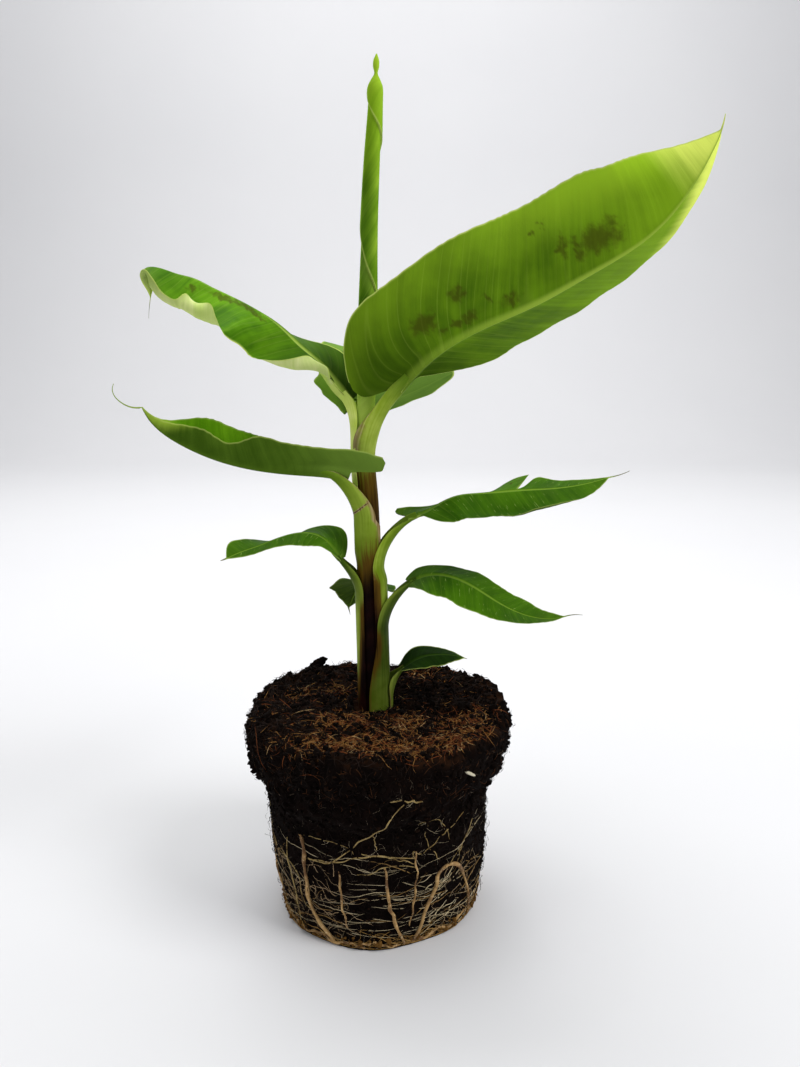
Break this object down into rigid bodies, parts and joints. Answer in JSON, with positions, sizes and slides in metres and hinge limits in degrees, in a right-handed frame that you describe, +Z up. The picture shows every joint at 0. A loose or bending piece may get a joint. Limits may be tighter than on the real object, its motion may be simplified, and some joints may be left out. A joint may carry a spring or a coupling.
{
  "type": "banana plant on root ball",
  "caption": "Young banana plant lifted from its nursery pot: bare root ball, false stem of rolled leaf bases, stalked leaves that arch to both sides, and a rolled spear leaf at the top.",
  "frame": {"origin": "centre of the root ball's flat underside, on the surface it stands on", "axes": "+Z up along the stem, +X to the right in the picture, towards the large leaf, +Y away from the camera"},
  "size_m": [0.3319, 0.2496, 0.521],
  "materials": {
    "soil": "moist dark peat, crumbly",
    "root": "pale tan, matt, fibrous",
    "stem_core": "dark maroon, satin",
    "sheath": "green to maroon, satin, fine lengthwise veins",
    "spear": "yellow-green, satin",
    "young_blade": "mid green with dark red blotches, satin",
    "blade": "deep green, satin, fine side veins"
  },
  "bodies": {
    "root": {"root_ball": "soil", "surface_root_1": "root", "surface_root_2": "root", "surface_root_3": "root", "surface_root_4": "root", "surface_root_5": "root", "surface_root_6": "root", "surface_root_7": "root", "surface_root_8": "root", "surface_root_9": "root", "surface_root_10": "root", "pseudostem": "stem_core", "spear_leaf": "spear", "sheath_big_right": "sheath", "sheath_left_upper": "sheath", "sheath_left_middle": "sheath", "sheath_right_middle": "sheath", "sheath_left_low": "sheath", "sheath_right_low": "sheath", "sheath_back_low": "sheath", "sheath_back_upper": "sheath", "sheath_lowest": "sheath", "blade_big_right": "young_blade", "blade_left_upper": "blade", "blade_left_middle": "blade", "blade_right_middle": "blade", "blade_left_low": "blade", "blade_right_low": "blade", "blade_back_low": "blade", "blade_back_upper": "blade", "blade_lowest": "blade"}
  },
  "joints": []
}
